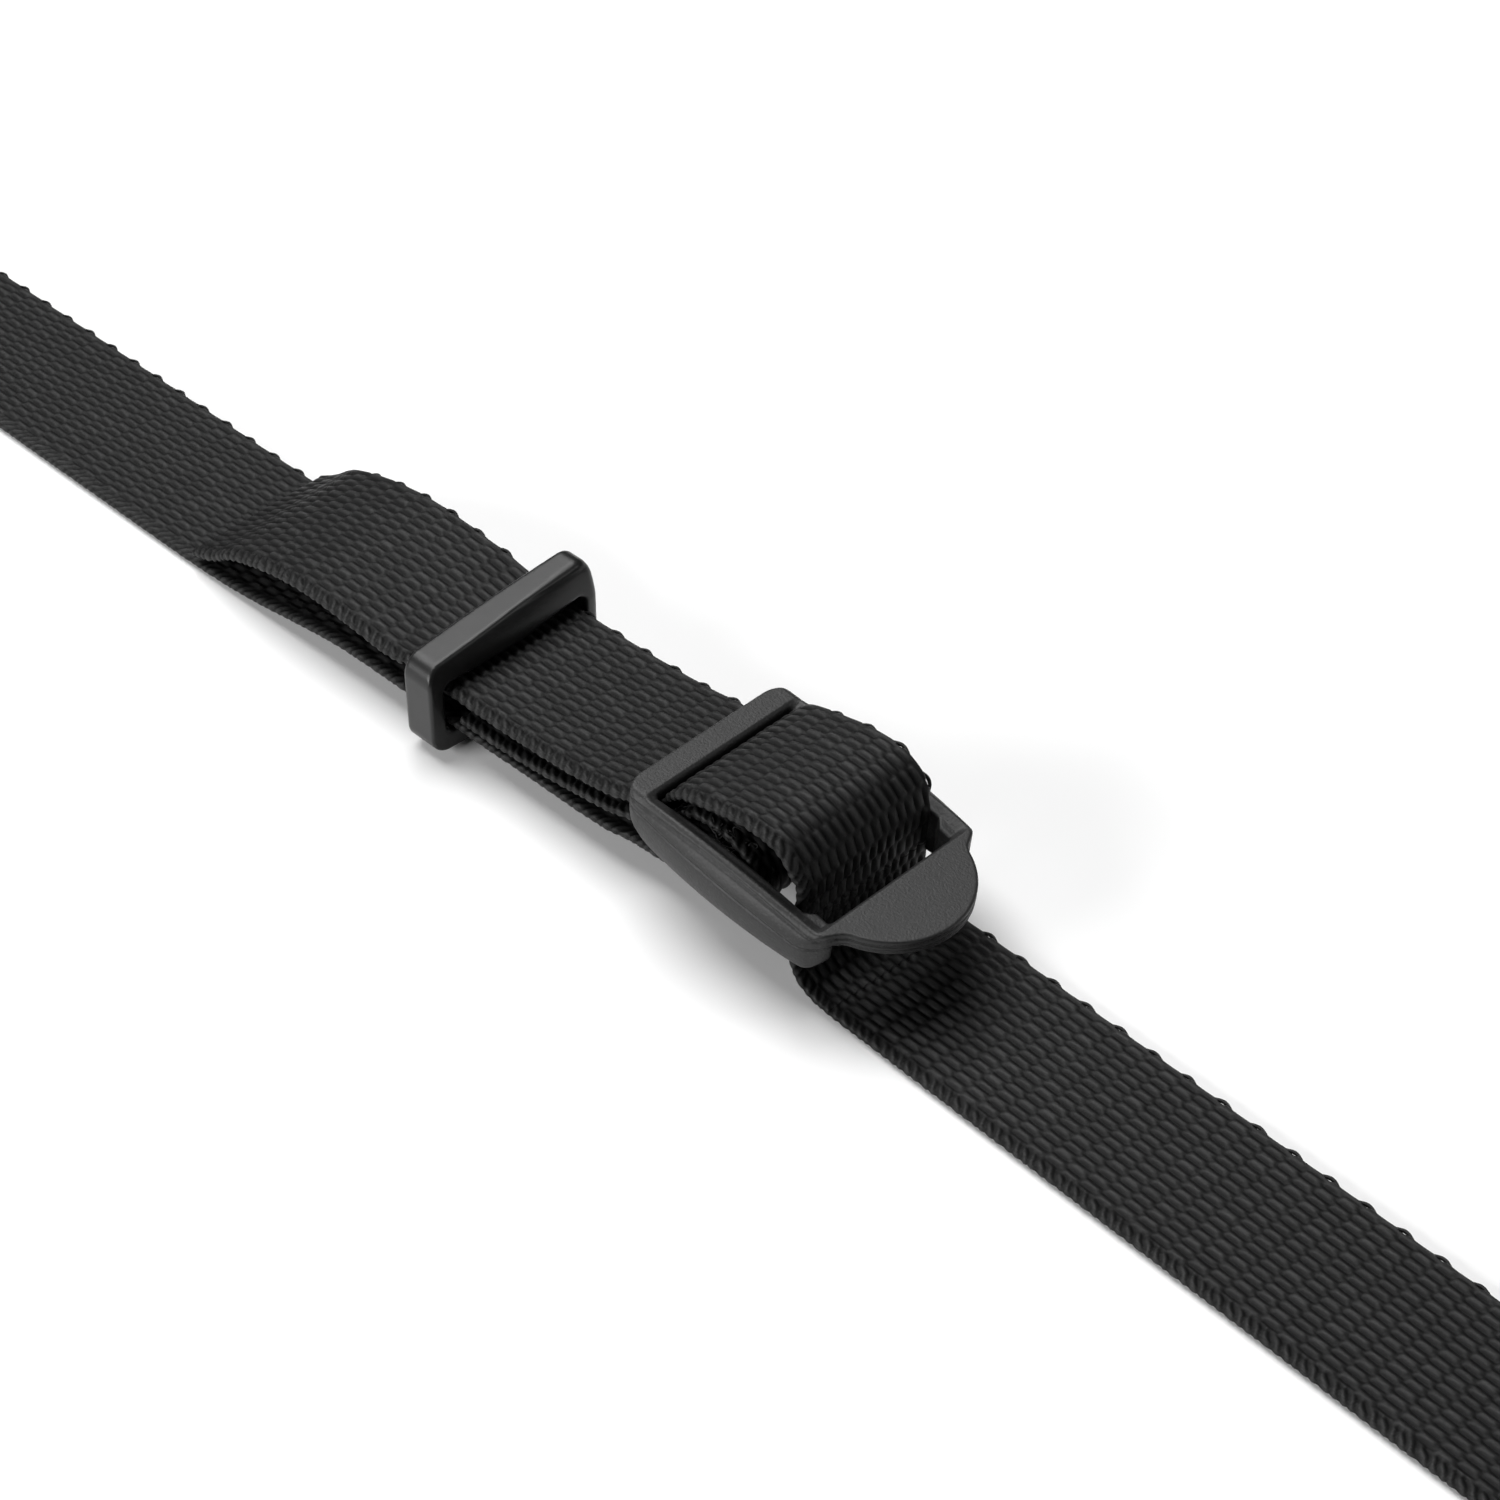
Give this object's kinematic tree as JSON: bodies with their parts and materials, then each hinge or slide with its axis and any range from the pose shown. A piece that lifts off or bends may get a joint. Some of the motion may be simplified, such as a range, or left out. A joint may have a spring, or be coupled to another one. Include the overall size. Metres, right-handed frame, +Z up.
{
  "type": "guitar strap",
  "caption": "Narrow webbing guitar strap with a ladder-lock buckle for its length, a sliding keeper loop, folded spare webbing and leather ends with button holes.",
  "frame": {"origin": "centre of the front end's button hole, on the face that the strap lies on", "axes": "+X along the strap from the front button hole to the rear one, +Z up out of the resting face, +Y to the left seen along +X"},
  "size_m": [0.6559, 0.0395, 0.023],
  "materials": {
    "webbing": "woven black polypropylene webbing, dull satin floats",
    "thread": "bonded black sewing thread",
    "buckle_plastic": "moulded acetal with a fine spark-eroded grain",
    "keeper_plastic": "moulded acetal, smooth satin",
    "leather": "black pebbled leather with burnished edges"
  },
  "bodies": {
    "front_strap": {"front_tab_leather": "leather", "front_tab_cover": "leather", "front_tab_stitching": "thread", "front_folded_webbing": "webbing", "front_webbing": "webbing", "anchor_loop": "webbing", "anchor_stitching": "thread", "tail_run": "webbing", "tail_arch": "webbing", "rear_foot": "webbing", "rear_run": "webbing"},
    "buckle": {"adjuster_buckle": "buckle_plastic", "adjuster_bight": "webbing"},
    "keeper": {"keeper_loop": "keeper_plastic"},
    "tail": {"tail_tip": "webbing"},
    "rear_strap": {"rear_folded_webbing": "webbing", "rear_tab_leather": "leather", "rear_tab_cover": "leather", "rear_tab_stitching": "thread"}
  },
  "joints": [
    {"name": "buckle_tilt", "type": "hinge", "parent": "front_strap", "child": "buckle", "pos_m": [0.35205, 0, 0.0112], "axis": [0, -1, 0], "range_deg": [0, 12], "deforming": ["anchor_loop", "tail_run", "rear_foot"]},
    {"name": "keeper_slide", "type": "slide", "parent": "front_strap", "child": "keeper", "axis": [1, 0, 0], "range_m": [-0.012, 0.018]},
    {"name": "length_slide", "type": "slide", "parent": "front_strap", "child": "rear_strap", "axis": [0.9994, -0.0349, 0], "range_m": [-0.02, 0.008], "deforming": ["rear_run"]},
    {"name": "tail_slide", "type": "slide", "parent": "front_strap", "child": "tail", "axis": [1, 0, 0], "range_m": [-0.02, 0.008], "deforming": ["tail_arch"]}
  ],
  "couplings": [
    {"joint": "tail_slide", "follows": "length_slide", "ratio": 1}
  ]
}
